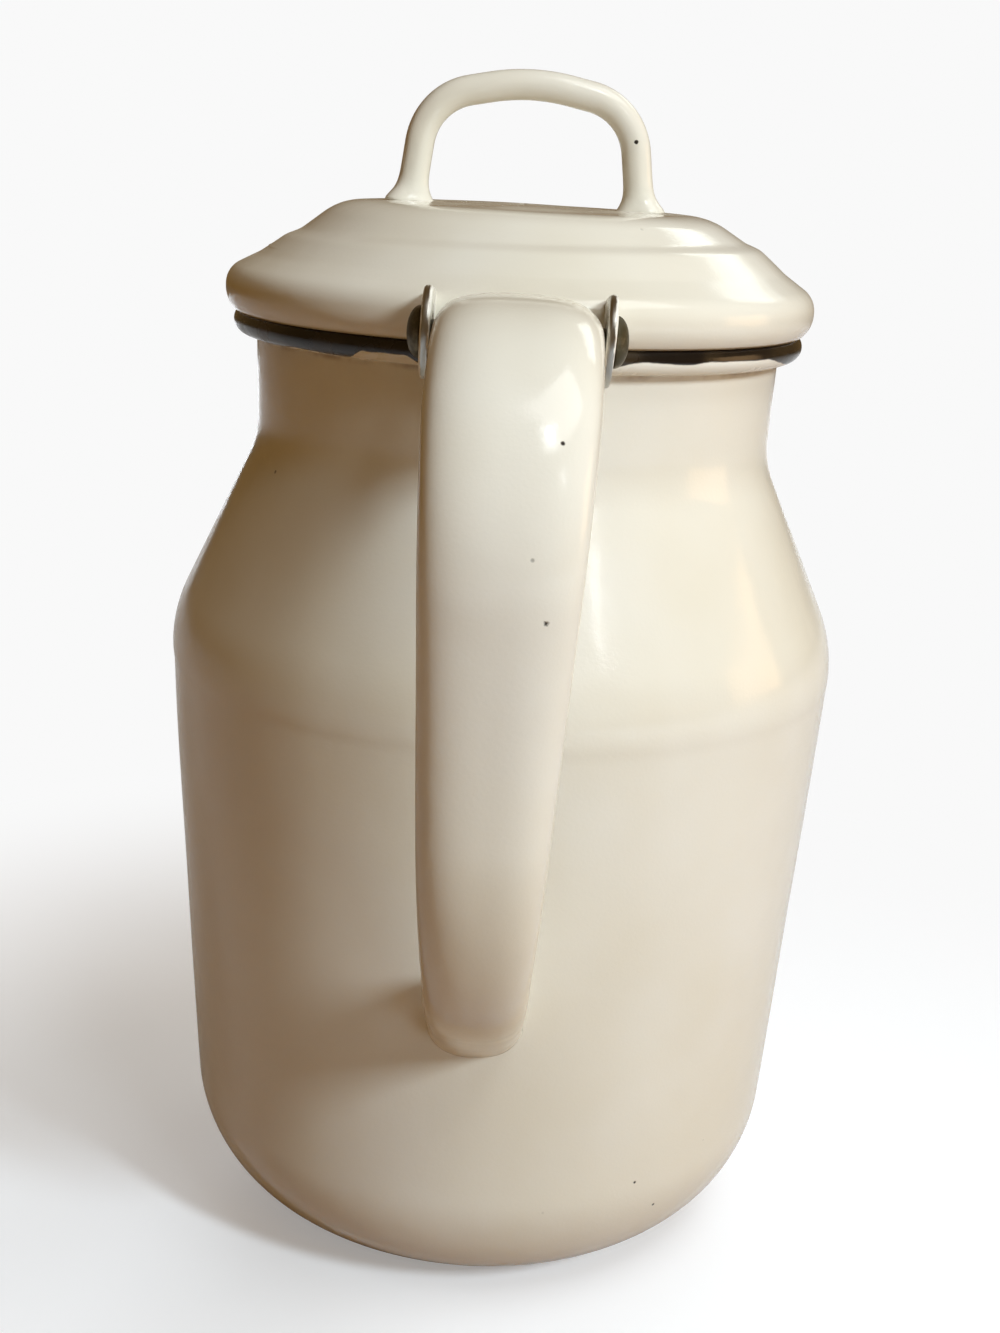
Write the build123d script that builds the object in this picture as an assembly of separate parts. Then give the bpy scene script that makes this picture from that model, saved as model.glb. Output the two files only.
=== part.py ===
"""Enamelled sheet-steel coffee pot with a hinged lid.

Millimetres, +Z up. The origin is the centre of the base on the table. The spout
points along +Y, the handle along -Y, and the hinge pin lies along X.
"""
import math
import os

from build123d import *

# Sheet and clearances
wall = 1.2                  # steel sheet with its enamel
running_gap = 0.35          # between the hinge lugs and the handle's sides
seat_gap = 0.3              # between the lid's lip and the rim that it rests on
hinge_gap = 0.6             # between the lid's edge and the handle's front end
pin_clearance = 0.08        # radial, hinge lugs on the pin
collar_gap = 1.1            # between the lid's collar and the neck

# Pot body, outside sizes
base_radius = 62.0          # the wall's line carried down to the table
base_corner = 30.0          # radius of the bottom corner
shoulder_radius = 70.0
shoulder_height = 130.1
shoulder_round = 29.6
weld_drop = 8.1             # weld between cup and shoulder, below the widest line
shoulder_rise = 38.0        # from the widest line to the root of the neck
neck_root_radius = 52.3
neck_round = 20.8
neck_rise = 23.3            # from the root of the neck to the centre of the rolled rim
neck_radius = 53.1          # at the rim
rim_bead_radius = 2.8

# Spout, from its root inside the wall to its mouth
# (beyond the base's radius, below the rim, tilt of the section, half width, half depth)
spout_stations = [
    (-12.0, 125.4, 62.0, 21.0, 26.0),
    (14.0, 103.4, 50.0, 16.5, 18.0),
    (31.0, 72.4, 24.0, 12.0, 12.5),
    (40.0, 37.4, 14.0, 9.2, 9.2),
    (47.0, 3.4, 24.0, 8.0, 8.0),
]
spout_lip_radius = 1.7
strainer_hole = 4.0
strainer_pitch = 7.0
strainer_rows = 5
strainer_middle_row = 5     # holes in the middle row
strainer_drop = 6.0         # middle row, below the spout's second section

# Lid, outside sizes: each corner is (in from the lid's edge, above the foot of its lip)
crown_edge = (22.4, 22.2)
crown_fall = 0.7            # from the middle of the crown to its edge
crown_round = 14.0
upper_step = (14.6, 16.8)
upper_ridge = (11.6, 15.6)
lower_step = (6.4, 11.6)
step_round = 6.0
lid_edge_top = 7.8          # where the slope would meet the upright edge
lid_lip_depth = 2.04        # from where the lip starts to turn in, down to its foot
lid_lip_lean = 45.0         # degrees that the lip turns in
lid_lip_past = 0.5          # lip drawn on past its foot, to be cut back over the rim
lid_edge_round = 4.8
lid_lip_round = 6.2
lid_lip_rise = 1.9          # foot of the lip, above the centre of the rim
collar_depth = 8.0          # below the top of the rim

# Rod handle on the lid
rod_diameter = 6.0
rod_rise = 25.5             # top of the rod above the crown
rod_span_foot = 46.2        # between the centres of the legs, on the crown
rod_span_shoulder = 40.8
rod_bend = 12.0
rod_crest_round = 40.0      # the top of the rod is a flat arch
rod_crest_fall = 4.1        # from the corner at its middle to those at its shoulders
rod_foot_radius = 5.0
rod_foot_height = 4.5

# Hinge
pin_rise = 4.6              # above the centre of the rim
pin_diameter = 4.4
pin_head_diameter = 8.8
pin_head_height = 2.3
pin_head_play = 0.2
lug_radius = 7.7
lug_thickness = 1.6
lug_root_depth = 3.0        # how far the lug's root goes in behind the lid's edge
lug_root_low = 0.2          # above the lip
lug_root_high = 1.1         # above the lid's upright edge

# Pot handle, along the middle of its thickness
handle_width = 28.2         # at the hinge
handle_width_arch = 25.2    # at the end of the arch
handle_width_foot = 16.4
handle_thickness = 14.4
handle_side_round = 6.4
arch_reach = 48.3           # from the pin back to the corner where the grip starts
arch_rise = 2.3             # that corner, above the pin
arch_round = 32.0
grip_length = 99.1          # height of the grip, down to the corner of the foot
grip_slope = 11.7           # how far the grip comes in over that height
low_bend_round = 26.8
foot_height = 35.1          # of the foot, from that corner down to its end
foot_depth = 3.0            # end of the foot, inside the base's radius
handle_root_width = 24.0    # where it meets the neck
handle_root_drop = 14.6     # below the rim
seam_drop = 2.8             # the seam lies this far inside the middle


def outline_face(corners, rounds, closing):
    """Face between a filleted line through the corners and the straight closing points."""
    line = FilletPolyline(*corners, radius=rounds)
    rest = Polyline(line @ 1, *closing, line @ 0)
    return make_face(line.edges() + rest.edges())


def turned(face):
    """Turn a face drawn as (radius, height) about the pot's axis."""
    return revolve(Plane.XZ * face, Axis.Z)


def hollow_of(outline):
    """Space inside the sheet of a half section drawn as (radius, height)."""
    whole = outline + mirror(outline, Plane.YZ)
    hollow = offset(whole, -wall, kind=Kind.INTERSECTION)
    return hollow & (Pos(beyond / 2, 0) * Rectangle(beyond, 2 * beyond))


def slab(low, high):
    """Everything between two heights."""
    return Pos(0, 0, (low + high) / 2) * Box(beyond, beyond, high - low)


# Pot body: a drawn cup and a drawn shoulder with its neck, welded near the widest line

seam_height = shoulder_height - weld_drop
neck_root_height = shoulder_height + shoulder_rise
neck_inside = neck_radius - wall
rim_height = neck_root_height + neck_rise
rim_centre = neck_inside + rim_bead_radius
rim_top = rim_height + rim_bead_radius
rim_foot = rim_height - rim_bead_radius
beyond = 2 * rim_top        # farther than anything on the pot reaches

pot_outline = outline_face(
    [
        (0, 0),
        (base_radius, 0),
        (shoulder_radius, shoulder_height),
        (neck_root_radius, neck_root_height),
        (neck_radius, rim_top + wall),
    ],
    [base_corner, shoulder_round, neck_round],
    [(0, rim_top + wall)],
)
pot_solid = turned(pot_outline)
pot_sheet = turned(pot_outline - hollow_of(pot_outline))


def rim_ring(tube_radius):
    """Solid ring along the rolled rim."""
    return Pos(0, 0, rim_height) * Torus(rim_centre, tube_radius)


body_cup = pot_sheet & slab(-wall, seam_height)
shoulder_neck = (pot_sheet & slab(seam_height, rim_height)) - rim_ring(rim_bead_radius)
rim_bead = rim_ring(rim_bead_radius) - rim_ring(rim_bead_radius - wall)

# Strainer: holes punched through the cup's wall behind the spout

strainer_height = rim_height - spout_stations[1][1] - strainer_drop
for row in range(strainer_rows):
    off_middle = row - strainer_rows // 2
    holes = strainer_middle_row - abs(off_middle)
    height = strainer_height + off_middle * strainer_pitch * math.sqrt(3) / 2
    for column in range(holes):
        side = (column - (holes - 1) / 2) * strainer_pitch
        punch = Cylinder(strainer_hole / 2, shoulder_radius)
        body_cup -= Pos(side, base_radius, height) * Rot(90, 0, 0) * punch

# Spout: two pressed halves welded along the middle, with a wire lip


def spout_plane(beyond_base, below_rim, tilt):
    """Plane of a spout section, tilted forward from level."""
    middle = (0, base_radius + beyond_base, rim_height - below_rim)
    lean = math.radians(tilt)
    return Plane(origin=middle, x_dir=(1, 0, 0), z_dir=(0, math.sin(lean), math.cos(lean)))


def spout_solid(inside):
    """Loft through the spout's stations, each drawn in by the given amount."""
    sections = []
    for *place, half_width, half_depth in spout_stations:
        ellipse = Ellipse(half_width - inside, half_depth - inside)
        sections.append(spout_plane(*place) * ellipse)
    return loft(sections)


mouth = spout_stations[-1]
mouth_radius = mouth[3] - wall / 2


def mouth_ring(tube_radius):
    """Solid ring around the spout's mouth."""
    return spout_plane(*mouth[:3]) * Torus(mouth_radius, tube_radius)


spout = spout_solid(0) - spout_solid(wall) - pot_solid - mouth_ring(spout_lip_radius)
right_side = Pos(beyond / 2, 0, 0) * Box(beyond, 2 * beyond, 2 * beyond)
spout_right_half = spout & right_side
spout_left_half = spout - right_side
spout_lip = mouth_ring(spout_lip_radius)

# Lid: a stepped pressing whose edge rolls in over the rim, and the collar welded inside it

lip_turn = math.tan(math.radians(lid_lip_lean))
lip_radius = rim_centre + math.sqrt((rim_bead_radius + seat_gap) ** 2 - lid_lip_rise**2)
lid_radius = lip_radius + lid_lip_depth * lip_turn
lip_foot = rim_height + lid_lip_rise
lip_end = (lip_radius - lid_lip_past * lip_turn, lip_foot - lid_lip_past)
crown_height = lip_foot + crown_edge[1] + crown_fall


def lid_corner(in_from_edge, above_lip):
    """Corner of the lid's outline as (radius, height)."""
    return lid_radius - in_from_edge, lip_foot + above_lip


lid_outline = outline_face(
    [
        (0, crown_height),
        lid_corner(*crown_edge),
        lid_corner(*upper_step),
        lid_corner(*upper_ridge),
        lid_corner(*lower_step),
        lid_corner(0, lid_edge_top),
        lid_corner(0, lid_lip_depth),
        lip_end,
    ],
    [crown_round, step_round, step_round, step_round, lid_edge_round, lid_lip_round],
    [(lip_end[0], neck_root_height), (0, neck_root_height)],
)
lid_hollow = hollow_of(lid_outline)
lid_solid = turned(lid_outline)
lid_shell = turned(lid_outline - lid_hollow) & slab(rim_height, crown_height + wall)
lid_shell -= rim_ring(rim_bead_radius + seat_gap)

collar_radius = neck_inside - collar_gap
collar_foot = rim_top - collar_depth
collar_tube = Cylinder(collar_radius, crown_height) - Cylinder(collar_radius - wall, crown_height)
collar_place = Pos(0, 0, collar_foot + crown_height / 2)
lid_collar = (collar_place * collar_tube) & turned(lid_hollow)

# Rod handle on the lid, welded down on two flared feet

rod_radius = rod_diameter / 2
rod_start = crown_height - 2 * wall
rod_lean = math.atan(2 * rod_crest_fall / rod_span_shoulder)
rod_crest = crown_height + rod_rise - rod_radius + rod_crest_round * (1 / math.cos(rod_lean) - 1)
rod_path = Plane.XZ * FilletPolyline(
    (-rod_span_foot / 2, rod_start),
    (-rod_span_shoulder / 2, rod_crest - rod_crest_fall),
    (0, rod_crest),
    (rod_span_shoulder / 2, rod_crest - rod_crest_fall),
    (rod_span_foot / 2, rod_start),
    radius=[rod_bend, rod_crest_round, rod_bend],
)
rod = sweep(Plane(rod_path @ 0, z_dir=rod_path % 0) * Circle(rod_radius), path=rod_path)
foot_top = crown_height + rod_foot_height
flare = Spline(
    (rod_foot_radius, crown_height - wall),
    (rod_radius, foot_top),
    tangents=[(-1, 1), (0, 1)],
)
foot_rest = Polyline(flare @ 1, (0, foot_top), (0, rod_start), (rod_foot_radius, rod_start), flare @ 0)
rod_foot = turned(make_face(flare.edges() + foot_rest.edges()))
foot_out = rod_span_foot / 2
lid_handle = (rod + Pos(foot_out, 0, 0) * rod_foot + Pos(-foot_out, 0, 0) * rod_foot) - lid_solid

# Hinge lugs, welded to the lid's rolled edge on both sides of the handle

handle_half = handle_thickness / 2
pin_back = lid_radius + hinge_gap + handle_half
pin_height = rim_height + pin_rise
lug_inside = handle_width / 2 + running_gap
lug_outside = lug_inside + lug_thickness
at_pin = Pos(-pin_back, pin_height)


def hinge_lug(side):
    """Plate with a round end about the pin, reaching forward to the lid's edge."""
    root_radius, root_low = lid_corner(lug_root_depth, lid_lip_depth + lug_root_low)
    root_high = lip_foot + lid_edge_top + lug_root_high
    root = Line((-root_radius, root_low), (-root_radius, root_high))
    plate = make_hull((at_pin * Circle(lug_radius)).edges() + root.edges())
    plate -= at_pin * Circle(pin_diameter / 2 + pin_clearance)
    placed = Plane((side * lug_inside, 0, 0), x_dir=(0, 1, 0), z_dir=(1, 0, 0)) * plate
    return extrude(placed, side * lug_thickness) - lid_solid


hinge_lug_right = hinge_lug(1)
hinge_lug_left = hinge_lug(-1)

# Hinge pin, with a domed head at each end

pin_radius = pin_diameter / 2
head_radius = pin_head_diameter / 2
head_start = lug_outside + pin_head_play
head_end = head_start + pin_head_height
dome = RadiusArc(
    (head_start, head_radius),
    (head_end, 0),
    (head_radius**2 + pin_head_height**2) / (2 * pin_head_height),
)
shank = Polyline(dome @ 1, (0, 0), (0, pin_radius), (head_start, pin_radius), dome @ 0)
pin_side = revolve(make_face(dome.edges() + shank.edges()), Axis.X)
pin_whole = pin_side + mirror(pin_side, Plane.YZ)
hinge_pin = Pos(0, -pin_back, pin_height) * pin_whole

# Pot handle: a hollow pressing in two halves, welded to the neck and to the wall

arch_back = pin_back + arch_reach
arch_height = pin_height + arch_rise
low_bend_height = arch_height - grip_length
foot_end = (foot_depth - base_radius, low_bend_height - foot_height)
handle_root_height = rim_foot - handle_root_drop
grip_outline = FilletPolyline(
    (-pin_back, pin_height),
    (-arch_back, arch_height),
    (grip_slope - arch_back, low_bend_height),
    foot_end,
    radius=[arch_round, low_bend_round],
)
grip_line = Plane.YZ * grip_outline
top_run, arch = grip_line.edges()[:2]
arch_end = (top_run.length + arch.length) / grip_line.length
handle_widths = [(0, handle_width), (arch_end, handle_width_arch), (1, handle_width_foot)]
inside_neck = neck_root_radius - 2 * wall


def across_grip(share, width, inside):
    """Rounded section square to the grip line, drawn in by the given amount."""
    heading = grip_line % share
    across = Plane(grip_line @ share, x_dir=(0, -heading.Z, heading.Y), z_dir=heading)
    section = RectangleRounded(
        handle_thickness - 2 * inside, width - 2 * inside, handle_side_round - inside
    )
    return across, section


def grip_bar(inside):
    """Rounded bar along the grip line, with its front end turned about the hinge pin."""
    sections = [across_grip(share, width, inside) for share, width in handle_widths]
    bar = sweep([across * section for across, section in sections], path=grip_line, multisection=True)
    across, section = sections[0]
    lower_half = section & (Pos(handle_thickness, 0) * Rectangle(2 * handle_thickness, 2 * handle_width))
    pin_axis = Axis((0, -pin_back, pin_height), (1, 0, 0))
    return bar + revolve(across * lower_half, pin_axis, 180)


def neck_root(inside):
    """Block that carries the front end down to the neck, under the rolled rim."""
    block = make_face(
        Polyline(
            (-inside_neck, handle_root_height),
            (-inside_neck, rim_foot),
            (-pin_back + handle_half, pin_height - handle_half / 2),
            (-pin_back, pin_height),
            (-arch_back + arch_round, pin_height - handle_half / 2),
            close=True,
        ).edges()
    )
    if inside:
        block = offset(block, -inside, kind=Kind.INTERSECTION)
    return extrude(Plane.YZ * block, handle_root_width / 2 - inside, both=True)


def handle_body(inside):
    """The whole handle, drawn in by the given amount on all sides."""
    return grip_bar(inside) + neck_root(inside)


pin_hole = Pos(0, -pin_back, pin_height) * Rot(0, 90, 0) * Cylinder(pin_radius, 2 * handle_width)
handle = handle_body(0) - handle_body(wall) - pot_solid - rim_ring(rim_bead_radius) - pin_hole
inside_seam = make_face(
    grip_outline.edges()
    + Polyline(
        grip_outline @ 1,
        (0, foot_end[1]),
        (0, handle_root_height),
        (-inside_neck, rim_foot - handle_half),
        grip_outline @ 0,
    ).edges()
)
seam_loop = extrude(Plane.YZ * offset(inside_seam, -seam_drop), handle_width, both=True)
handle_inner_half = handle & seam_loop
handle_outer_half = handle - seam_loop

# One file for each piece

pieces = {
    "body_cup": body_cup,
    "shoulder_neck": shoulder_neck,
    "rim_bead": rim_bead,
    "spout_left_half": spout_left_half,
    "spout_right_half": spout_right_half,
    "spout_lip": spout_lip,
    "handle_outer_half": handle_outer_half,
    "handle_inner_half": handle_inner_half,
    "lid_shell": lid_shell,
    "lid_collar": lid_collar,
    "lid_handle": lid_handle,
    "hinge_lug_left": hinge_lug_left,
    "hinge_lug_right": hinge_lug_right,
    "hinge_pin": hinge_pin,
}
os.makedirs("parts", exist_ok=True)
for name, piece in pieces.items():
    export_step(piece, f"parts/{name}.step")
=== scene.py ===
"""Looks of an enamelled steel coffee pot with a hinged lid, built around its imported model.

Metres, +Z up. The pot's axis is Z, the spout points along +Y, the handle along -Y,
and the hinge pin lies along X. The pot stands on the floor at height 0.
"""
import math

import bpy
import numpy as np
from mathutils import Matrix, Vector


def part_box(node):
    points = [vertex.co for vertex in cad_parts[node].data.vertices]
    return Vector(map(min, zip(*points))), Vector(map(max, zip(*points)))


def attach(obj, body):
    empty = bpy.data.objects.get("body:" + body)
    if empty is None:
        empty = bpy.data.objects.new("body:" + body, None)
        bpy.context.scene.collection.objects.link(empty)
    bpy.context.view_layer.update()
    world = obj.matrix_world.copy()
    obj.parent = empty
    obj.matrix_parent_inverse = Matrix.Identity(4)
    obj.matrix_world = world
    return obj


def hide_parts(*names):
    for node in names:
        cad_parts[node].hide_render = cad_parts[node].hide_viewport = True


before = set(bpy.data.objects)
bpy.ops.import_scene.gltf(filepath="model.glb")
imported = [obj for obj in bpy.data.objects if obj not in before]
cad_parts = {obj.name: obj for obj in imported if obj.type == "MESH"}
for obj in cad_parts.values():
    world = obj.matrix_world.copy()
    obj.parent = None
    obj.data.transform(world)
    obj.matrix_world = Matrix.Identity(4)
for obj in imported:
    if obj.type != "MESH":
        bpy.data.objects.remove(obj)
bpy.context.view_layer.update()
scene = bpy.context.scene

# Camera
# A hand-held view from behind the handle, close to the pot and a little above it.
# The lens gives the height of the picture an angle of 42 degrees.

camera_behind = 0.36123
camera_height = 0.22383
camera_dip = math.radians(16.13)
camera_roll = math.radians(3.09)
film_height = 0.036
lens_length = 0.04705

camera_data = bpy.data.cameras.new("camera")
camera_data.sensor_fit = "VERTICAL"
camera_data.sensor_height = film_height * 1000
camera_data.lens = lens_length * 1000
camera = bpy.data.objects.new("camera", camera_data)
tilted = Matrix.Rotation(math.pi / 2 - camera_dip, 4, "X") @ Matrix.Rotation(camera_roll, 4, "Z")
camera.matrix_world = Matrix.Translation((0, -camera_behind, camera_height)) @ tilted
scene.collection.objects.link(camera)
scene.camera = camera
scene.view_settings.view_transform = "Standard"

# Shader maths
# A value is one socket of a material: sums, products and comparisons add Math nodes.
# A finish is one material, and its node method makes every other node.


class Value:
    """A number or colour that varies over a surface, with arithmetic on numbers."""

    def __init__(self, finish, socket):
        self.finish = finish
        self.socket = socket

    def math(self, operation, *operands):
        sockets = dict(enumerate(operands))
        return self.finish.node("ShaderNodeMath", {"operation": operation}, sockets)

    def __add__(self, other):
        return self.math("ADD", self, other)

    def __radd__(self, other):
        return self.math("ADD", other, self)

    def __sub__(self, other):
        return self.math("SUBTRACT", self, other)

    def __rsub__(self, other):
        return self.math("SUBTRACT", other, self)

    def __mul__(self, other):
        return self.math("MULTIPLY", self, other)

    def __rmul__(self, other):
        return self.math("MULTIPLY", other, self)

    def __or__(self, other):
        return self.math("MAXIMUM", self, other)

    def __abs__(self):
        return self.math("ABSOLUTE", self)

    def rising(self, low, high):
        """0 below low, 1 above high, and a smooth step between them."""
        limits = {"Value": self, "From Min": low, "From Max": high}
        return self.finish.node("ShaderNodeMapRange", {"interpolation_type": "SMOOTHSTEP"}, limits)

    def falling(self, low, high):
        """1 below low, 0 above high, and a smooth step between them."""
        return 1 - self.rising(low, high)


class Finish:
    """A node tree whose patterns lie on Object coordinates, in metres."""

    def __init__(self, name, kind="materials"):
        self.owner = getattr(bpy.data, kind).new(name)
        self.owner.use_nodes = True
        self.tree = self.owner.node_tree
        self.tree.nodes.clear()
        self.place = self.node("ShaderNodeTexCoord", {}, {}, "Object")
        self.across, self.along, self.height = self.parts(self.place)

    def node(self, kind, settings, sockets, output=0):
        """Add a node, set its settings, set or link its sockets, and give one output."""
        made = self.tree.nodes.new(kind)
        for name, setting in settings.items():
            setattr(made, name, setting)
        for name, given in sockets.items():
            if isinstance(given, Value):
                self.tree.links.new(given.socket, made.inputs[name])
            else:
                made.inputs[name].default_value = given
        return Value(self, made.outputs[output]) if made.outputs else None

    def parts(self, vector):
        """The three numbers of a vector."""
        first = self.node("ShaderNodeSeparateXYZ", {}, {0: vector})
        return [Value(self, part) for part in first.socket.node.outputs]

    def noise(self, scale, detail=2.0, at=None):
        """Cloudy noise about 0.5, with the given number of clouds to the metre."""
        sockets = {"Vector": at or self.place, "Scale": scale, "Detail": detail}
        return self.node("ShaderNodeTexNoise", {}, sockets)

    def stretched(self, x, y, z):
        """Object coordinates with each axis scaled, to draw a pattern out."""
        return self.node("ShaderNodeMapping", {}, {"Vector": self.place, "Scale": (x, y, z)})

    def mix(self, share, first, second):
        """First colour where the share is 0, second colour where it is 1."""
        return self.node("ShaderNodeMix", {"data_type": "RGBA"}, {0: share, 6: first, 7: second}, 2)

    def near(self, point, radius):
        """1 at a point and 0 beyond the radius, with a ragged edge."""
        settings = {"operation": "DISTANCE"}
        gap = self.node("ShaderNodeVectorMath", settings, {0: self.place, 1: point}, 1)
        return (gap + (self.noise(900, 3.0) - 0.5) * (radius * 1.3)).falling(radius * 0.6, radius)

    def bump(self, height, depth, normal=None):
        """Normal of a surface raised by height times depth."""
        sockets = {"Height": height, "Strength": 1.0, "Distance": depth}
        if normal:
            sockets["Normal"] = normal
        return self.node("ShaderNodeBump", {}, sockets)

    def surface(self, sockets):
        """Close the material with its shader."""
        shader = self.node("ShaderNodeBsdfPrincipled", {}, sockets)
        self.node("ShaderNodeOutputMaterial", {}, {"Surface": shader})
        return self.owner


def colour(red, green, blue):
    """Linear colour of a paint chip read as eight-bit sRGB."""
    share = np.array([red, green, blue]) / 255
    linear = np.where(share <= 0.04045, share / 12.92, ((share + 0.055) / 1.055) ** 2.4)
    return (*linear.tolist(), 1.0)


# Floor and surround
# A pale floor, which the camera sees fade into a white surround. It is pale in a gloss
# too, but the light that it throws back on the pot is warm, as from a table.

floor_reach = 3.0
fade_start = 0.10
fade_end = 0.27
floor_glow = 0.28
floor_pale = colour(224, 228, 234)
floor_warm = colour(158, 120, 74)
surround_white = (0.947, 0.947, 0.947, 1.0)
room_warm = (1.0, 0.60, 0.22, 1.0)
room_level = 0.16

floor_finish = Finish("pale_floor")
seen = floor_finish.node("ShaderNodeLightPath", {}, {}, "Is Camera Ray")
in_gloss = floor_finish.node("ShaderNodeLightPath", {}, {}, "Is Glossy Ray")
shown = seen | in_gloss
floor_colour = floor_finish.mix(shown, floor_warm, floor_pale)
paint = floor_finish.node("ShaderNodeBsdfDiffuse", {}, {"Color": floor_colour})
lift = floor_finish.node("ShaderNodeEmission", {}, {"Strength": seen * floor_glow})
lit = floor_finish.node("ShaderNodeAddShader", {}, {0: paint, 1: lift})
white = floor_finish.node("ShaderNodeEmission", {}, {"Color": surround_white})
from_middle = {0: floor_finish.place}
reach = floor_finish.node("ShaderNodeVectorMath", {"operation": "LENGTH"}, from_middle, 1)
far = reach.rising(fade_start, fade_end) * seen
faded = floor_finish.node("ShaderNodeMixShader", {}, {0: far, 1: lit, 2: white})
floor_finish.node("ShaderNodeOutputMaterial", {}, {"Surface": faded})

floor_mesh = bpy.data.meshes.new("floor")
floor_corners = floor_reach * np.array([(-1, -1, 0), (1, -1, 0), (1, 1, 0), (-1, 1, 0)])
floor_mesh.from_pydata(floor_corners.tolist(), [], [(0, 1, 2, 3)])
floor_mesh.materials.append(floor_finish.owner)
floor = bpy.data.objects.new("floor", floor_mesh)
scene.collection.objects.link(floor)

surround = Finish("surround", "worlds")
backdrop = surround.node("ShaderNodeLightPath", {}, {}, "Is Camera Ray")
room = surround.node("ShaderNodeBackground", {}, {"Color": room_warm, "Strength": room_level})
card = surround.node("ShaderNodeBackground", {}, {"Color": surround_white, "Strength": 1.0})
sky = surround.node("ShaderNodeMixShader", {}, {0: backdrop, 1: room, 2: card})
surround.node("ShaderNodeOutputWorld", {}, {"Surface": sky})
scene.world = surround.owner

# Lamps
# A cool window in front on the right is the key. A low fill stands in front, two small
# lamps give the glints, and weaker ones light the top, the right and the spout's side.

aim_height = 0.11


def soft_box(name, azimuth, elevation, distance, size, level, tint, glints=True):
    """Rectangular lamp that aims at the pot's middle, with or without its own reflection.

    Azimuth 0 is +X and 90 is +Y. Its power is its level times the square of pi times the
    distance, so that a white card at the pot that faces the lamp has that brightness.
    """
    lamp = bpy.data.lights.new(name, "AREA")
    lamp.shape = "RECTANGLE"
    lamp.size, lamp.size_y = size
    lamp.energy = level * (math.pi * distance) ** 2
    lamp.color = tint
    holder = bpy.data.objects.new(name, lamp)
    holder.visible_glossy = glints
    turn = Matrix.Rotation(math.radians(azimuth + 90), 4, "Z")
    lean = Matrix.Rotation(math.radians(90 - elevation), 4, "X")
    middle = Matrix.Translation((0, 0, aim_height))
    holder.matrix_world = middle @ turn @ lean @ Matrix.Translation((0, 0, distance))
    scene.collection.objects.link(holder)


soft_box("key", -47, 32, 1.3, (0.12, 0.24), 0.68, (0.84, 0.94, 1.0), glints=False)
soft_box("front_low", -60, 5, 1.4, (0.5, 0.3), 0.11, (0.72, 0.88, 1.0), glints=False)
soft_box("sparkle", -53, 34, 1.5, (0.06, 0.14), 0.014, (0.95, 0.98, 1.0))
soft_box("window", -64, 55, 1.5, (0.20, 0.28), 0.09, (0.88, 0.96, 1.0))
soft_box("overhead", -30, 64, 1.6, (1.0, 0.8), 0.27, (0.97, 0.98, 0.98))
soft_box("warm_side", 4, 8, 1.4, (0.6, 0.5), 0.10, (1.0, 0.62, 0.30))
soft_box("far_window", 54, 37, 1.4, (0.5, 0.35), 0.06, (0.93, 1.0, 0.95))
soft_box("spout_side", 94, 9, 1.5, (0.8, 0.6), 0.50, (0.95, 0.98, 1.0), glints=False)

# Pot body
# The cup and the shoulder with its neck are drawn from steel sheet, welded near the
# widest line and dipped whole in cream enamel, so they show as one skin with a soft line.

sheet = 0.0012
hub_radius = 0.0004
body_step = 0.0009
base_radius = 0.0620
base_corner = 0.0300
shoulder_radius = 0.0700
shoulder_height = 0.1301
shoulder_round = 0.0296
neck_root = (0.0523, 0.1681)
neck_round = 0.0208
neck_radius = 0.0531
seam_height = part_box("body_cup")[1].z
rim_low, rim_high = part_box("rim_bead")
rim_height = (rim_low.z + rim_high.z) / 2
enamel_cream = colour(232, 229, 219)
enamel_shade = colour(225, 219, 203)
# Brown of the coffee stain inside the pot, also used for the painted shadow that the rim bead casts
# on the neck.
stain_and_shadow_brown = colour(128, 92, 54)
bare_iron = colour(38, 30, 25)
peel_depth = 0.00002
pull_depth = 0.00018
pinhole_depth = 0.00012
stain_low = 0.150
stain_high = 0.172


def evenly(line, step):
    """Points a step apart on a polyline, found by its running length."""
    runs = np.linalg.norm(np.diff(line, axis=0), axis=1)
    length = np.concatenate([[0], np.cumsum(runs)])
    at = np.linspace(0, length[-1], int(length[-1] / step) + 2)
    return np.stack([np.interp(at, length, column) for column in line.T], axis=1)


def rounded(corners, radii, step):
    """Even points on straight runs joined by arcs.

    An arc starts its radius times the tangent of half the turn before its corner, and
    its middle lies a radius to the side that the line turns to.
    """
    corners = np.array(corners, float)
    pieces = [corners[:1]]
    for before, corner, after, radius in zip(corners, corners[1:], corners[2:], radii):
        into = (corner - before) / np.linalg.norm(corner - before)
        out = (after - corner) / np.linalg.norm(after - corner)
        turn = math.acos(float(np.clip(into @ out, -1, 1)))
        side = math.copysign(radius, into[0] * out[1] - into[1] * out[0])
        start = corner - into * radius * math.tan(turn / 2)
        to_middle = side * np.array([-into[1], into[0]])
        angle = np.linspace(0, turn, 24)[:, None]
        pieces.append(start + to_middle * (1 - np.cos(angle)) + into * radius * np.sin(angle))
    pieces.append(corners[-1:])
    return evenly(np.concatenate(pieces), step)


def facing(line):
    """Unit normals on the right of a line drawn in a plane, from its central differences."""
    heading = np.gradient(line, axis=0)
    heading /= np.linalg.norm(heading, axis=1, keepdims=True)
    return np.stack([heading[:, 1], -heading[:, 0]], axis=1)


def hand_made(angle, place, seed, amount):
    """Slow waves of a pressed and dipped sheet, from minus amount to 0.

    The mean of several cosines, each with a whole number of turns around the piece, a
    pitch along it and a start drawn from the seed.
    """
    draw = np.random.default_rng(seed)
    total = 0
    waves = 10
    for turns in draw.integers(1, 9, waves):
        pitch, start = draw.uniform(20, 130), draw.uniform(0, 2 * np.pi)
        total = total + np.cos(turns * angle + pitch * place + start)
    return amount * (total / waves - 1) / 2


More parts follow.
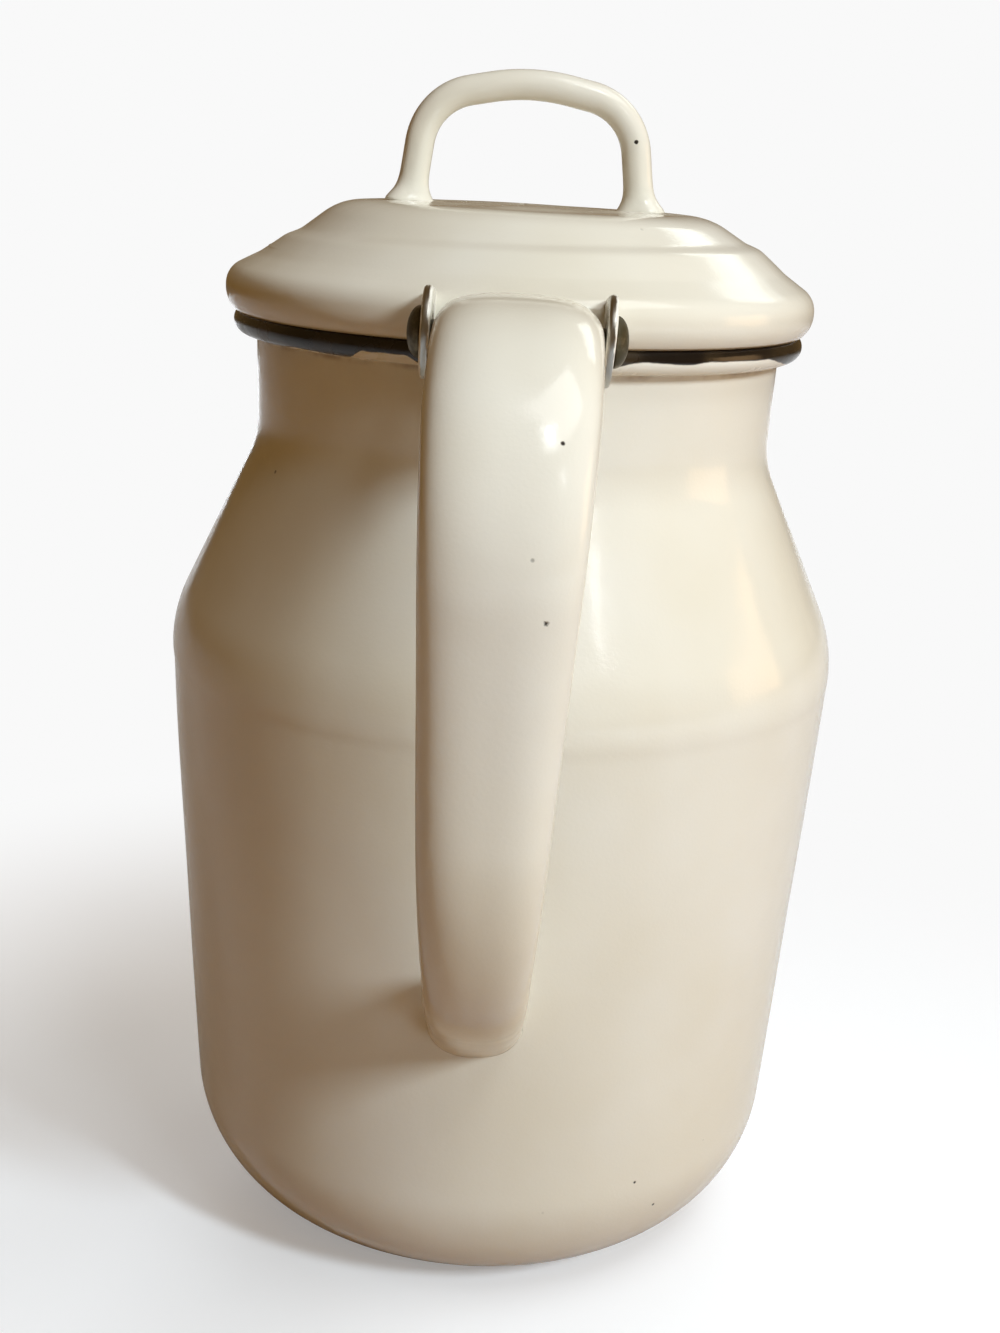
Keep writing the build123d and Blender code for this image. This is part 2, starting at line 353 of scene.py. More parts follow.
def grid_mesh(name, points, rows_closed=False, columns_closed=True, capped=(False, False)):
    """Mesh of quads over a grid of points, one row after the other.

    Closed rows or columns join the last to the first. A capped end is a fan to its mean.
    """
    rows, columns = points.shape[:2]
    index = np.arange(rows * columns).reshape(rows, columns)
    if rows_closed:
        index = np.concatenate([index, index[:1]])
    if columns_closed:
        index = np.concatenate([index, index[:, :1]], axis=1)
    quads = np.stack([index[:-1, :-1], index[:-1, 1:], index[1:, 1:], index[1:, :-1]], axis=-1)
    faces = quads.reshape(-1, 4).tolist()
    corners = points.reshape(-1, 3).tolist()
    for end, turned in ((0, True), (-1, False)):
        if capped[end]:
            ring = index[end]
            middle = np.full(len(ring) - 1, len(corners))
            corners.append(points[end].mean(axis=0).tolist())
            fan = np.stack([ring[:-1], ring[1:], middle], axis=1)
            faces += (fan[:, ::-1] if turned else fan).tolist()
    mesh = bpy.data.meshes.new(name)
    mesh.from_pydata(corners, [], faces)
    mesh.polygons.foreach_set("use_smooth", np.ones(len(faces), bool))
    return mesh


def fitted(name, mesh, finishes, body, nodes):
    """Place a finished mesh as a piece that rides on a body and stands for its nodes."""
    for finish in finishes:
        mesh.materials.append(finish)
    piece = bpy.data.objects.new(name, mesh)
    scene.collection.objects.link(piece)
    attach(piece, body)
    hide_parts(*nodes)
    return piece


def turned(outline, columns):
    """Grids of angle, radius and height for an outline turned about the pot's axis."""
    angle = np.linspace(0, 2 * np.pi, columns, endpoint=False)[None, :]
    radius = outline[:, 0][:, None]
    height = outline[:, 1][:, None] + 0 * angle
    return angle, radius, height


def ring_points(angle, radius, height):
    """Points at an angle and radius about the pot's axis, from sines and cosines."""
    return np.stack([radius * np.cos(angle), radius * np.sin(angle), height], axis=-1)


def cream_enamel(name, flaws=(), painted_shadow=None, stained=False):
    """Glossy cream enamel over steel.

    The cream drifts slowly in tone, a fine orange peel and slow waves bend its gloss, and
    a few pinholes and chips show the dark ground coat. Each flaw is a chip's place and
    radius, painted_shadow gives the share of a brown band of painted shadow, and a stained
    side has held coffee.
    """
    finish = Finish(name)
    drift = finish.noise(16, 3.0)
    streaks = finish.noise(30, 2.0, finish.stretched(1, 1, 0.25))
    tone = (drift * 0.7 + streaks * 0.3).rising(0.36, 0.66)
    skin = finish.mix(tone, enamel_cream, enamel_shade)
    wear = finish.noise(60, 4.0)
    rough = 0.10 + 0.10 * wear.rising(0.40, 0.70)
    if stained:
        rings = finish.noise(40, 4.0, finish.stretched(0.4, 0.4, 3))
        waterline = finish.height + (rings - 0.5) * 0.02
        stain = waterline.falling(stain_low, stain_high) * (0.45 + 0.5 * rings)
        skin = finish.mix(stain, skin, stain_and_shadow_brown)
        rough = rough + 0.18 * stain
    # Painted shadow: a patchy brown band laid into the colour where the rim bead casts its shadow
    # on the neck.
    if painted_shadow:
        skin = finish.mix(painted_shadow(finish), skin, stain_and_shadow_brown)
    dots = {"Vector": finish.place, "Scale": 95.0}
    cells = finish.node("ShaderNodeTexVoronoi", {}, dots, "Distance")
    lone = finish.noise(23, 0.0).rising(0.60, 0.66)
    pinhole = cells.falling(0.020, 0.045) * lone
    for point, radius in flaws:
        pinhole = pinhole | finish.near(point, radius)
    skin = finish.mix(pinhole, skin, bare_iron)
    rough = rough + 0.45 * pinhole
    peel = finish.noise(1500, 2.0)
    pull = finish.noise(70, 2.0)
    relief = finish.bump(peel, peel_depth)
    relief = finish.bump(pull, pull_depth, relief)
    relief = finish.bump(1 - pinhole, pinhole_depth, relief)
    return finish.surface({"Base Color": skin, "Roughness": rough, "Normal": relief, "IOR": 1.52})


body_corners = [
    (hub_radius, 0),
    (base_radius, 0),
    (shoulder_radius, shoulder_height),
    neck_root,
    (neck_radius, rim_height),
]
body_rounds = [base_corner, shoulder_round, neck_round]
body_outline = rounded(body_corners, body_rounds, body_step)
crease_depth = 0.00030
crease_below = 0.010
crease_above = 0.0022
crease_mean = 0.7
crease_one_side = 0.3
body_waves = 0.00030
waves_full = 0.012

from_seam = np.abs(seam_height - body_outline[:, 1])
below_seam = np.exp(-from_seam / crease_below)
above_seam = np.exp(-from_seam / crease_above)
crease = np.where(body_outline[:, 1] < seam_height, below_seam, above_seam) * crease_depth

lining = (body_outline - facing(body_outline) * sheet)[::-3]
lining[-1, 0] = body_outline[0, 0]
wall_line = np.concatenate([body_outline, lining])
wall_facing = np.concatenate([facing(body_outline), facing(lining)])
wall_dip = np.concatenate([crease, np.zeros(len(lining))])[:, None]

angle, radius, height = turned(wall_line, 208)
off_floor = np.clip(height / waves_full, 0, 1)
around_seam = crease_mean - crease_one_side * np.cos(angle)
dip = hand_made(angle, height, 3, body_waves) * off_floor - wall_dip * around_seam
radius = radius + wall_facing[:, :1] * dip
height = height + wall_facing[:, 1:] * dip
body_mesh = grid_mesh("pot_body", ring_points(angle, radius, height), capped=(True, True))
columns = angle.shape[1]
outer_faces = (len(body_outline) - 1) * columns
side = np.zeros(len(body_mesh.polygons), np.int32)
side[outer_faces:] = 1
side[-2 * columns:-columns] = 0
body_mesh.polygons.foreach_set("material_index", side)

body_flaws = [
    ((-0.0335, -0.0608, 0.1128), 0.0007),
    ((0.0450, -0.0520, 0.0640), 0.0006),
]
# The painted shadow under the rim bead lies between these depths below the rim's middle.
rim_shadow_low = 0.0042
rim_shadow_high = 0.0030


def shadow_under_rim(finish):
    """Share of a thin brown band of painted shadow, in patches, where the rim bead shades the neck.
    """
    line = finish.height.rising(rim_height - rim_shadow_low, rim_height - rim_shadow_high)
    return line * finish.noise(120, 3.0).rising(0.42, 0.62) * 0.55


# The outer enamel carries the painted shadow under the rim bead.
outside = cream_enamel("cream_enamel_body", body_flaws, shadow_under_rim)
inside = cream_enamel("stained_enamel_inside", stained=True)
body_nodes = ["body_cup", "shoulder_neck"]
pot_body = fitted("pot_body", body_mesh, [outside, inside], "pot", body_nodes)

# Strainer
# A diamond of small holes is punched through the cup's wall behind the spout, to keep
# the grounds back.

strainer_hole = 0.0020
strainer_pitch = 0.0070
strainer_height = 0.0820
strainer_rows = 5
punches = []
for row in range(strainer_rows):
    off_middle = row - strainer_rows // 2
    holes = strainer_rows - abs(off_middle)
    for column in range(holes):
        across = (column - (holes - 1) / 2) * strainer_pitch
        up = strainer_height + off_middle * strainer_pitch * math.sqrt(3) / 2
        punches.append((across, up))
punch_start = base_radius - 0.004
punch_end = base_radius + 0.014
round_angle = np.linspace(0, 2 * np.pi, 20, endpoint=False)
punch_meshes = []
for across, up in punches:
    punch_ring = np.stack([
        across + strainer_hole * np.cos(round_angle),
        0 * round_angle,
        up - strainer_hole * np.sin(round_angle),
    ], axis=-1)
    ends = [punch_ring + [0, punch_start, 0], punch_ring + [0, punch_end, 0]]
    punch_meshes.append(grid_mesh("punch", np.stack(ends), capped=(True, True)))
punch_set = [bpy.data.objects.new("punch", mesh) for mesh in punch_meshes]
punch_tools = bpy.data.collections.new("punches")
for punch in punch_set:
    punch_tools.objects.link(punch)
cut = pot_body.modifiers.new("strainer", "BOOLEAN")
cut.operation = "DIFFERENCE"
cut.operand_type = "COLLECTION"
cut.collection = punch_tools
cut.solver = "EXACT"
punched_body = pot_body.evaluated_get(bpy.context.evaluated_depsgraph_get())
sheet_with_holes = bpy.data.meshes.new_from_object(punched_body)
pot_body.modifiers.clear()
pot_body.data = sheet_with_holes
for punch in punch_set:
    bpy.data.objects.remove(punch)
bpy.data.collections.remove(punch_tools)

# Rim
# The neck's edge is rolled outwards into a bead. It was dipped again in black, which
# ran down unevenly and left the underside of the bead white along the right.

rim_bead = (rim_high.z - rim_low.z) / 2
rim_centre = rim_high.x - rim_bead
black_enamel = colour(24, 19, 16)
black_brown = colour(52, 41, 27)
black_below_middle = 0.0026
white_underside = 0.0022
drip_depth = 0.0022
ragged_depth = 0.0010
rim_waves = 0.00022

black_finish = Finish("black_rim_enamel")
ragged = black_finish.noise(150, 4.0)
drips = black_finish.noise(45, 2.0)
sideways = black_finish.across
right_side = sideways.rising(0.010, 0.022) * sideways.falling(0.046, 0.053)
behind = black_finish.along.falling(-0.020, 0.0)
chipped = sideways.rising(-0.030, -0.027) * sideways.falling(-0.020, -0.016)
left_white = (right_side | chipped * 0.8) * behind
edge = rim_height - black_below_middle + left_white * white_underside
edge = edge + (drips - 0.5) * drip_depth + (ragged - 0.5) * ragged_depth
black_share = (black_finish.height - edge).rising(0.0, 0.00025)
browned = black_finish.noise(70, 3.0).rising(0.45, 0.68)
black_tone = black_finish.mix(browned, black_enamel, black_brown)
rim_relief = black_finish.bump(black_finish.noise(300, 2.0), 0.00008)
rim_finish = black_finish.surface({
    "Base Color": black_finish.mix(black_share, enamel_cream, black_tone),
    "Roughness": 0.16 + 0.14 * black_finish.noise(140, 3.0).rising(0.4, 0.7),
    "Normal": black_finish.bump(black_share, 0.00010, rim_relief),
})

around_bead = np.linspace(0, 2 * np.pi, 40, endpoint=False)[:, None]
round_rim = np.linspace(0, 2 * np.pi, 260, endpoint=False)[None, :]
bead = rim_bead + hand_made(round_rim, around_bead * rim_bead, 5, rim_waves)
rim_radius = rim_centre + bead * np.cos(around_bead)
rim_points = ring_points(round_rim, rim_radius, rim_height + bead * np.sin(around_bead))
rim_mesh = grid_mesh("rim", rim_points, rows_closed=True)
fitted("rim", rim_mesh, [rim_finish], "pot", ["rim_bead"])

# Spout
# Two pressed halves welded along the middle, welded to the cup at its root and closed
# at the mouth with a black wire lip. Its weld lines show as low ridges under the enamel.

# Forward and up in metres, tilt in degrees, half width and half depth in metres.
spout_stations = np.array([
    (0.0500, 0.0660, 62.0, 0.0210, 0.0260),
    (0.0760, 0.0880, 50.0, 0.0165, 0.0180),
    (0.0930, 0.1190, 24.0, 0.0120, 0.0125),
    (0.1020, 0.1540, 14.0, 0.0092, 0.0092),
    (0.1090, 0.1880, 24.0, 0.0080, 0.0080),
])
spout_inset = 0.0002
spout_ridge = 0.0002
spout_ridge_width = 0.0009
spout_sink = 0.0005
spout_weld_reach = 0.0028
spout_weld = 0.0016


def smooth_through(stations, share):
    """Values between stations on a cubic, with slopes from the chords on both sides."""
    slope = np.gradient(stations, axis=0)
    at = share * (len(stations) - 1)
    low = np.clip(at.astype(int), 0, len(stations) - 2)
    part = (at - low)[:, None]
    leaving = slope[low] * (part**3 - 2 * part**2 + part)
    arriving = slope[low + 1] * (part**3 - part**2)
    from_low = stations[low] * (2 * part**3 - 3 * part**2 + 1) + leaving
    to_high = stations[low + 1] * (3 * part**2 - 2 * part**3) + arriving
    return from_low + to_high


def out_of_wall(points):
    """How far points stand outside the cup's wall."""
    wall = np.interp(points[..., 2], body_outline[:, 1], body_outline[:, 0])
    return np.hypot(points[..., 0], points[..., 1]) - wall


def from_wall(points, sink):
    """Start each column of a grid where it comes out of the wall, sunk by a little.

    The share of the column inside the wall is found from the last row that is inside,
    and the rows are spread again over the rest.
    """
    rows, columns = points.shape[:2]
    depth = out_of_wall(points) + sink
    row = np.arange(rows)[:, None]
    last = np.where(depth < 0, row, 0).max(axis=0)
    column = np.arange(columns)
    inner, outer = depth[last, column], depth[last + 1, column]
    start = last + inner / (inner - outer)
    at = start[None, :] + (rows - 1 - start[None, :]) * np.linspace(0, 1, rows)[:, None]
    low = np.clip(at.astype(int), 0, rows - 2)
    part = (at - low)[..., None]
    return points[low, column] * (1 - part) + points[low + 1, column] * part


def spout_skin(drawn_in, ridge, rows=150, columns=72):
    """Ellipses square to the tilted stations, drawn in a little, with a ridge at the weld."""
    station = smooth_through(spout_stations, np.linspace(0, 1, rows))
    angle = np.linspace(0, 2 * np.pi, columns, endpoint=False)[None, :]
    front, up, tilt, half_width, half_depth = [column[:, None] for column in station.T]
    lean = np.radians(tilt)
    weld = ridge * np.exp(-((np.cos(angle) * half_width) / spout_ridge_width) ** 2)
    across = (half_width - drawn_in + weld) * np.cos(angle)
    deep = (half_depth - drawn_in + weld) * np.sin(angle)
    return np.stack([across, front + deep * np.cos(lean), up - deep * np.sin(lean)], axis=-1)


def spread_at_wall(points, reach, amount):
    """Flare a grid's first rows outwards, as a weld does, falling off with the distance."""
    middle = points.mean(axis=1, keepdims=True)
    away = points - middle
    away /= np.linalg.norm(away, axis=-1, keepdims=True)
    travelled = np.linalg.norm(points - points[:1], axis=-1, keepdims=True)
    return points + away * amount * np.exp(-((travelled / reach) ** 1.3))


spout_outer = from_wall(spout_skin(spout_inset, spout_ridge), spout_sink)
spout_outer = spread_at_wall(spout_outer, spout_weld_reach, spout_weld)
spout_inner = from_wall(spout_skin(sheet, 0), spout_sink)
spout_points = np.concatenate([spout_outer, spout_inner[::-1]])
spout_mesh = grid_mesh("spout", spout_points, rows_closed=True)
spout_mesh.flip_normals()
spout_finish = cream_enamel("cream_enamel_spout", [((0.0105, 0.0985, 0.130), 0.0008)])
spout_nodes = ["spout_left_half", "spout_right_half"]
fitted("spout", spout_mesh, [spout_finish], "pot", spout_nodes)

lip_bead = 0.0016
mouth_front, mouth_height, mouth_tilt, mouth_radius = spout_stations[-1, :4]
mouth_lean = math.radians(mouth_tilt)
round_lip = np.linspace(0, 2 * np.pi, 90, endpoint=False)[None, :]
around_lip = np.linspace(0, 2 * np.pi, 26, endpoint=False)[:, None]
lip_out = mouth_radius - sheet / 2 + lip_bead * np.cos(around_lip)
lip_up = lip_bead * np.sin(around_lip)
lip_deep = lip_out * np.sin(round_lip)
lip_points = np.stack([
    lip_out * np.cos(round_lip),
    mouth_front + lip_deep * math.cos(mouth_lean) + lip_up * math.sin(mouth_lean),
    mouth_height - lip_deep * math.sin(mouth_lean) + lip_up * math.cos(mouth_lean),
], axis=-1)
lip_finish = Finish("black_lip_enamel")
lip_tone = lip_finish.mix(lip_finish.noise(200, 3.0).rising(0.5, 0.7), black_enamel, black_brown)
lip_worn = lip_finish.noise(380, 3.0).rising(0.66, 0.70)
lip_tone = lip_finish.mix(lip_worn, lip_tone, bare_iron)
lip_surface = lip_finish.surface({
    "Base Color": lip_tone,
    "Roughness": 0.16 + 0.4 * lip_worn,
    "Normal": lip_finish.bump(lip_finish.noise(350, 2.0), 0.00006),
})
lip_mesh = grid_mesh("spout_lip", lip_points, rows_closed=True)
fitted("spout_lip_black", lip_mesh, [lip_surface], "pot", ["spout_lip"])

# Handle
# A hollow pressing, 28 mm wide at the hinge and 18 mm at its foot, bent from the rim down
# to the wall. It is welded shut along both sides, and leans a little to the left.

pin_low, pin_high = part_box("hinge_pin")
pin_back = -(pin_low.y + pin_high.y) / 2
pin_height = (pin_low.z + pin_high.z) / 2
handle_half_depth = 0.0072
grip_corners = [
    (-pin_back, pin_height),
    (-0.1153, 0.1983),
    (-0.1033, 0.0965),
    (-0.0590, 0.0655),
]
grip_rounds = [0.0320, 0.0600]
# Share of the handle's length, and its width there.
handle_widths = [(0.0, 0.0282), (0.20, 0.0274), (0.35, 0.0250), (0.75, 0.0190), (1.0, 0.0182)]
flat_sided = 2.8
rounder = 2.5
rounder_from = 0.7
grip_step = 0.0012
grip_lean = 0.0012
lean_start = 0.008
lean_end = 0.118
grip_waves = 0.022
seam_ridge_height = 0.00022
seam_ridge_width = 0.0007
seam_inwards = 0.0028
foot_length = 0.030
foot_sink = 0.0004
foot_weld_reach = 0.0014
foot_weld = 0.0002


def grip_rows(step):
    """Points, headings and half widths along the middle of the handle's thickness."""
    line = rounded(grip_corners, grip_rounds, step)
    heading = np.gradient(line, axis=0)
    heading /= np.linalg.norm(heading, axis=1, keepdims=True)
    share = np.linspace(0, 1, len(line))
    shares, widths = np.array(handle_widths).T
    return line, heading, np.interp(share, shares, widths) / 2


def squared(angle, power):
    """Cosine and sine drawn out to a rounded square.

    Both are divided by the power's root of the sum of their sizes to that power.
    """
    across, deep = np.cos(angle), np.sin(angle)
    scale = (np.abs(across) ** power + np.abs(deep) ** power) ** (-1 / power)
    return across * scale, deep * scale


line, heading, half_width = grip_rows(grip_step)
section_angle = np.linspace(0, 2 * np.pi, 88, endpoint=False)[None, :]
grip_share = np.linspace(0, 1, len(line))[:, None]
section_power = flat_sided + (rounder - flat_sided) * np.clip(grip_share / rounder_from, 0, 1)
section_across, section_deep = squared(section_angle, section_power)
outward = np.stack([heading[:, 1], -heading[:, 0]], axis=1)
deep = section_deep * handle_half_depth
seam_ridge = seam_ridge_height * np.exp(-((deep + seam_inwards) / seam_ridge_width) ** 2)
across = half_width[:, None] * section_across + np.sign(section_across) * seam_ridge
along_row = np.arange(len(line))[:, None] * grip_step
uneven = 1 + hand_made(section_angle, along_row, 11, grip_waves)
lean_share = np.clip((along_row - lean_start) / (lean_end - lean_start), 0, 1)
across = across * uneven - grip_lean * lean_share**2 * (3 - 2 * lean_share)
deep = deep * uneven
bar = np.stack([
    across,
    line[:, :1] + deep * outward[:, :1],
    line[:, 1:] + deep * outward[:, 1:],
], axis=-1)
nose_turn = np.linspace(np.pi / 2, 0, 16, endpoint=False)[:, None]
nose_forward = np.abs(deep[:1]) * np.sin(nose_turn)
nose_up = deep[:1] * np.cos(nose_turn)
nose = np.stack([
    across[:1] + 0 * nose_turn,
    line[0, 0] - nose_forward * heading[0, 0] + nose_up * outward[0, 0],
    line[0, 1] - nose_forward * heading[0, 1] + nose_up * outward[0, 1],
], axis=-1)
foot_start = len(line) - int(foot_length / grip_step)
foot = from_wall(bar[foot_start:][::-1], foot_sink)
foot = spread_at_wall(foot, foot_weld_reach, foot_weld)[::-1]
handle_points = np.concatenate([nose, bar[:foot_start], foot])
handle_mesh = grid_mesh("handle", handle_points, capped=(False, True))
handle_mesh.flip_normals()
handle_flaws = [
    ((0.0076, -0.1130, 0.1769), 0.0008),
    ((0.0066, -0.1178, 0.1600), 0.0008),
]
handle_finish = cream_enamel("cream_enamel_handle", handle_flaws)
handle_nodes = ["handle_outer_half", "handle_inner_half"]
fitted("handle", handle_mesh, [handle_finish], "pot", handle_nodes)

# Handle root
# The handle's top narrows to a square foot below the rim and is welded to the neck. Its
# end stays within the neck's sheet.

root_half_width = 0.0120
root_end_radius = 0.0523
root_squareness = 4.0
root_weld_reach = 0.0040
root_weld = 0.0014
root_low = np.array([(-0.0515, 0.1745), (-0.0800, 0.1905)])
root_high = np.array([(-0.0515, 0.1880), (-0.0680, 0.1960)])
root_share = np.linspace(0, 1, 30)[:, None]
low_line = root_low[0] + (root_low[1] - root_low[0]) * root_share
high_line = root_high[0] + (root_high[1] - root_high[0]) * root_share
root_middle = (low_line + high_line) / 2
root_half = (high_line - low_line) / 2
root_angle = np.linspace(0, 2 * np.pi, 64, endpoint=False)[None, :]
root_across, root_deep = squared(root_angle, root_squareness)
root_points = np.stack([
    root_half_width * root_across + 0 * root_share,
    root_middle[:, :1] + root_half[:, :1] * root_deep,
    root_middle[:, 1:] + root_half[:, 1:] * root_deep,
], axis=-1)
root_points = spread_at_wall(root_points, root_weld_reach, root_weld)
in_sheet = -np.sqrt(root_end_radius**2 - root_points[..., 0] ** 2)
root_points[..., 1] = np.minimum(root_points[..., 1], in_sheet)
root_mesh = grid_mesh("handle_root", root_points, capped=(True, True))
fitted("handle_root", root_mesh, [handle_finish], "pot", [])

# Lid
# A pressing with a flat crown, two soft steps and a rolled edge that turns in over the
# rim. The die left its right side a little fuller than its left.

lid_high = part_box("lid_shell")[1]
lid_radius = lid_high.x
lip_foot = rim_height + 0.0019
crown_height = lid_high.z
pressing_skew = 0.0009
fullest_radius = 0.047
fullness_width = 0.008
fullness_turn = 0.3
lid_rise_waves = 0.00035
lid_reach_waves = 0.00020
lid_waves_full = 0.004
lid_step = 0.0006
lip_slant = 0.00204
lid_corners = [
    (hub_radius, crown_height),
    (lid_radius - 0.0224, crown_height - 0.0007),
    (lid_radius - 0.0146, lip_foot + 0.0168),
    (lid_radius - 0.0116, lip_foot + 0.0156),
    (lid_radius - 0.0064, lip_foot + 0.0116),
    (lid_radius, lip_foot + 0.0078),
    (lid_radius, lip_foot + lip_slant),
    (lid_radius - lip_slant, lip_foot),
]
lid_rounds = [0.014, 0.006, 0.006, 0.006, 0.0048, 0.0062]
lid_line = rounded(lid_corners, lid_rounds, lid_step)
lid_facing = -facing(lid_line)
lid_lining = (lid_line - lid_facing * sheet)[::-2]
lid_lining[-1, 0] = lid_line[0, 0]
lid_profile = np.concatenate([lid_line, lid_lining])
angle, radius, height = turned(lid_profile, 232)
full_ring = np.exp(-(((radius - fullest_radius) / fullness_width) ** 2))
fullness = full_ring * np.cos(angle + fullness_turn)
above_lip = np.clip((height - lip_foot) / lid_waves_full, 0, 1)
lid_rise = hand_made(angle, radius, 21, lid_rise_waves) * above_lip
height = height + pressing_skew * fullness + lid_rise
radius = radius + hand_made(angle, height, 22, lid_reach_waves)
lid_mesh = grid_mesh("lid", ring_points(angle, radius, height), capped=(True, True))
lid_mesh.flip_normals()
lid_flaws = [
    ((0.0017, -0.0385, 0.2150), 0.0007),
    ((0.0300, 0.0200, 0.2140), 0.0006),
]
lid_finish = cream_enamel("cream_enamel_lid", lid_flaws)
fitted("lid", lid_mesh, [lid_finish], "lid", ["lid_shell"])

# Lid collar
# A plain ring under the lid, which keeps it centred in the neck. It ends just under the
# lid's inner face.

collar_low, collar_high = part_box("lid_collar")
collar_radius = collar_high.x
collar_top = collar_high.z - 0.0002
collar_edge = sheet * 0.45
collar_step = 0.0004
collar_corners = [
    (collar_radius - sheet, collar_top),
    (collar_radius - sheet, collar_low.z),
    (collar_radius, collar_low.z),
    (collar_radius, collar_top),
]
collar_line = rounded(collar_corners, [collar_edge, collar_edge], collar_step)
angle, radius, height = turned(collar_line, 160)
collar_mesh = grid_mesh("lid_collar_ring", ring_points(angle, radius, height), rows_closed=True)
collar_finish = cream_enamel("stained_enamel_collar")
fitted("lid_collar_ring", collar_mesh, [collar_finish], "lid", ["lid_collar"])

# Lid handle
# A 6 mm rod bent to a staple, its ends spread and welded down on the crown. The
# enamel has pooled round both feet.

rod_radius = 0.0030
rod_foot = 0.0231
rod_shoulder = 0.0204
rod_start = crown_height - 0.0011
rod_crest_fall = 0.0041
rod_crest_round = 0.0400
rod_bend = 0.0120
rod_step = 0.0005
rod_waves = 0.00016
pool_depth = 0.0021
pool_height = 0.0024
pool_lobes = 0.25
rod_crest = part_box("lid_handle")[1].z - rod_radius
rod_crest += rod_crest_round * (math.hypot(1, rod_crest_fall / rod_shoulder) - 1)
rod_corners = [
    (-rod_foot, rod_start),
    (-rod_shoulder, rod_crest - rod_crest_fall),
    (0, rod_crest),
    (rod_shoulder, rod_crest - rod_crest_fall),
    (rod_foot, rod_start),
]
rod_line = rounded(rod_corners, [rod_bend, rod_crest_round, rod_bend], rod_step)
rod_side = facing(rod_line)
rod_angle = np.linspace(0, 2 * np.pi, 44, endpoint=False)[None, :]
above_foot = (rod_line[:, 1] - rod_start)[:, None]
pool = pool_depth * np.exp(-((above_foot / pool_height) ** 1.6))
pool = pool * (1 + pool_lobes * np.cos(3 * rod_angle + 1))
rod_thick = rod_radius + pool + hand_made(rod_angle, rod_line[:, :1], 31, rod_waves)
rod_points = np.stack([
    rod_line[:, :1] + rod_side[:, :1] * rod_thick * np.cos(rod_angle),
    rod_thick * np.sin(rod_angle),
    rod_line[:, 1:] + rod_side[:, 1:] * rod_thick * np.cos(rod_angle),
], axis=-1)
rod_mesh = grid_mesh("lid_rod", rod_points, capped=(True, True))
rod_finish = cream_enamel("cream_enamel_rod", [((0.0212, -0.0030, 0.2290), 0.0005)])
fitted("lid_rod", rod_mesh, [rod_finish], "lid", ["lid_handle"])

# Hinge lugs
# Two steel plates with a round end, welded to the lid's rolled edge on both sides of
# the handle and enamelled with it. Wear has laid their edges bare and bright.

lug_radius = 0.0077
lug_thickness = 0.0016
lug_hole = 0.0024
lug_edge = 0.00055
lug_face_start = lug_edge + 0.0003
lug_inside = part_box("hinge_lug_right")[0].x
lug_sides = (("left", -1, -0.00015), ("right", 1, 0.00040))
lug_root_back = 0.0556
lug_root_low = lip_foot + 0.0023
lug_root_high = lip_foot + 0.0089
least_cosine = 0.05
worn_steel = colour(168, 165, 158)


def lug_outline(angle):
    """Distance from the pin to the plate's edge.

    Behind the pin it is the lug's radius. In front it is the nearest of three lines: the
    root, and from each end of the root the line that touches the round end.
    """
    to_root = pin_back - lug_root_back
    turns = []
    for end, sign in ((lug_root_high, 1), (lug_root_low, -1)):
        up = end - pin_height
        away = math.hypot(to_root, up)
        turns.append(math.atan2(up, to_root) + sign * math.acos(lug_radius / away))
    in_front = (angle < turns[0]) & (angle > turns[1])
    reach = []
    for turn, length in ((0.0, to_root), (turns[0], lug_radius), (turns[1], lug_radius)):
        cosine = np.cos(angle - turn)
        to_line = length / np.maximum(cosine, least_cosine)
        reach.append(np.where(cosine > least_cosine, to_line, 1.0))
    return np.where(in_front, np.minimum.reduce(reach), lug_radius)


lug_finish = Finish("enamelled_lug")
scuffed = lug_finish.noise(500, 3.0)
off_middle = abs(abs(lug_finish.across) - (lug_inside + lug_thickness / 2))
bare = (off_middle + (scuffed - 0.5) * 0.0007).falling(0.00042, 0.00066)
lug_skin = lug_finish.mix(bare, enamel_cream, worn_steel)
lug_surface = lug_finish.surface({
    "Base Color": lug_skin,
    "Metallic": bare,
    "Roughness": 0.18 + 0.14 * bare,
    "Normal": lug_finish.bump(scuffed, 0.00006),
})

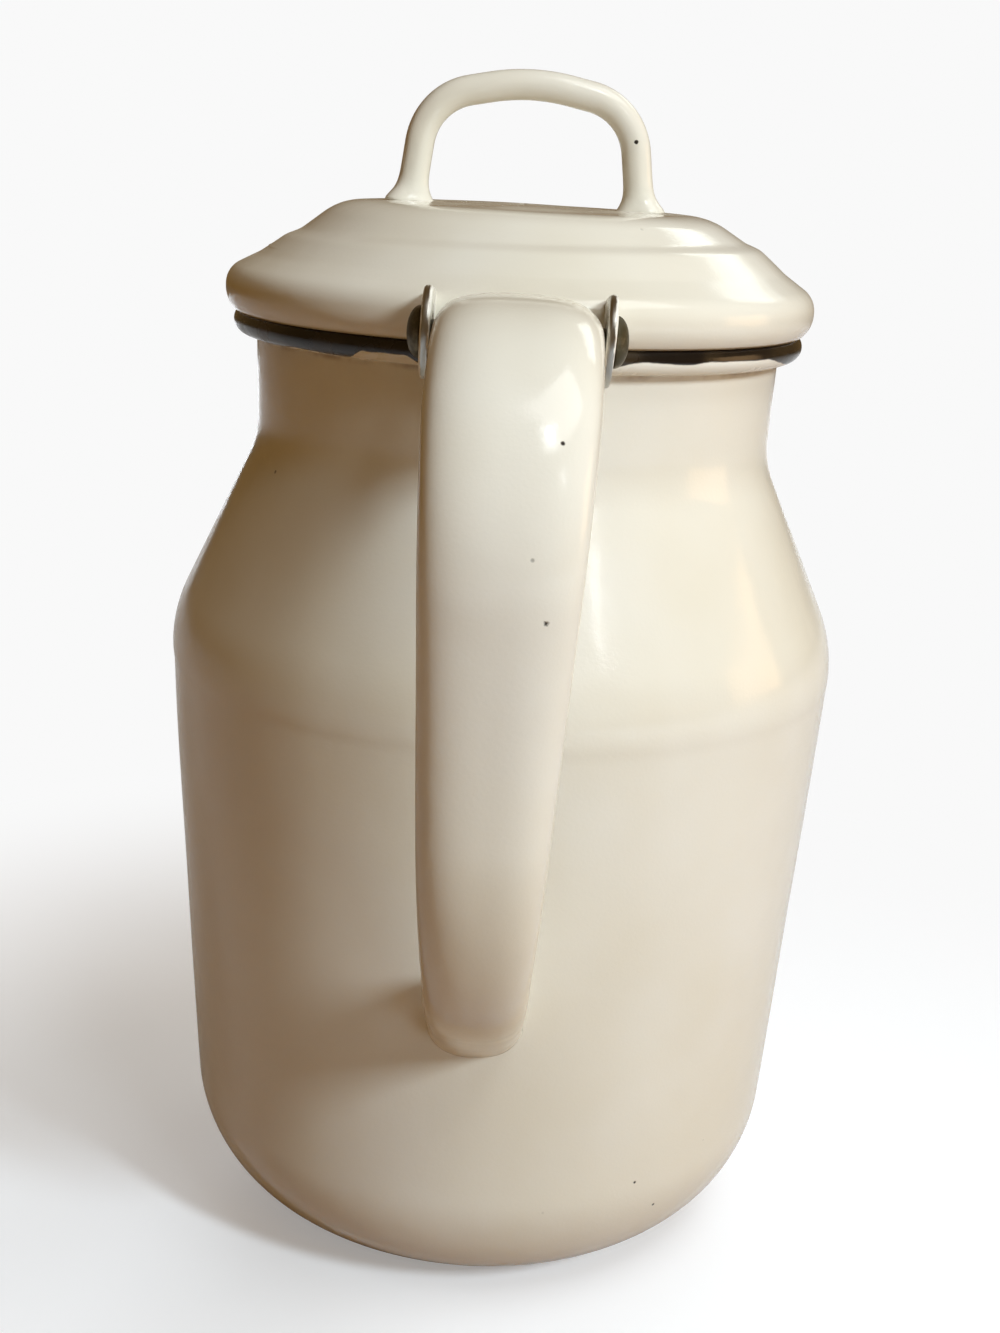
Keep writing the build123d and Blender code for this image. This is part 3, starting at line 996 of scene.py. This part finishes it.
lug_turn = np.linspace(-np.pi, np.pi, 96, endpoint=False)[None, :]
lug_reach = lug_outline(lug_turn)
quarter = np.linspace(0, np.pi / 2, 6)
round_in = lug_edge * (1 - np.sin(quarter))
round_out = lug_edge * (1 - np.cos(quarter))
inset = np.concatenate([[lug_face_start], round_in, round_out, [lug_face_start]])[:, None]
thick = np.concatenate([[0, 0], round_out, lug_thickness - round_in, [lug_thickness] * 2])[:, None]
hole_row = np.full((1, lug_turn.shape[1]), lug_hole)
radii = np.concatenate([hole_row, lug_reach - inset, hole_row])
rise = radii * np.sin(lug_turn)
for name, sign, lean in lug_sides:
    tip = lean * np.clip(rise / lug_radius, -1, 1)
    lug_points = np.stack([
        sign * (lug_inside + thick + tip),
        -pin_back + radii * np.cos(lug_turn),
        pin_height + rise,
    ], axis=-1)
    lug_mesh = grid_mesh(f"lug_{name}", lug_points, rows_closed=True)
    if sign < 0:
        lug_mesh.flip_normals()
    fitted(f"lug_{name}", lug_mesh, [lug_surface], "lid", [f"hinge_lug_{name}"])

# Hinge pin
# A steel rivet through lugs and handle, with a domed head at each end, dull and dark
# with old enamel and grease.

pin_radius = 0.0022
head_radius = 0.0044
head_height = 0.0023
head_undercut = 0.0003
head_fullness = 0.9
head_tip = 0.00008
head_start = pin_high.x - head_height
dark_steel = colour(70, 63, 42)
dark_worn = colour(112, 103, 82)

head_turn = np.linspace(0, np.pi / 2, 12)
head_line = np.stack([
    head_start + head_height * np.sin(head_turn),
    head_radius * np.cos(head_turn) ** head_fullness,
], axis=1)
head_line[-1, 1] = head_tip
shank_line = np.array([
    (0, pin_radius),
    (head_start, pin_radius),
    (head_start, head_radius - head_undercut),
])
half_pin = np.concatenate([shank_line, head_line])
pin_line = np.concatenate([half_pin[::-1] * [-1, 1], half_pin[1:]])
pin_turn = np.linspace(0, 2 * np.pi, 48, endpoint=False)[None, :]
pin_points = np.stack([
    pin_line[:, :1] + 0 * pin_turn,
    -pin_back + pin_line[:, 1:] * np.cos(pin_turn),
    pin_height + pin_line[:, 1:] * np.sin(pin_turn),
], axis=-1)
pin_mesh = grid_mesh("hinge_rivet", pin_points, capped=(True, True))
pin_finish = Finish("dark_rivet_steel")
rubbed = pin_finish.noise(420, 3.0).rising(0.45, 0.70)
pin_surface = pin_finish.surface({
    "Base Color": pin_finish.mix(rubbed, dark_steel, dark_worn),
    "Metallic": 0.35 + 0.35 * rubbed,
    "Roughness": 0.52 - 0.16 * rubbed,
    "Normal": pin_finish.bump(pin_finish.noise(600, 3.0), 0.00008),
})
fitted("hinge_rivet", pin_mesh, [pin_surface], "pot", ["hinge_pin"])
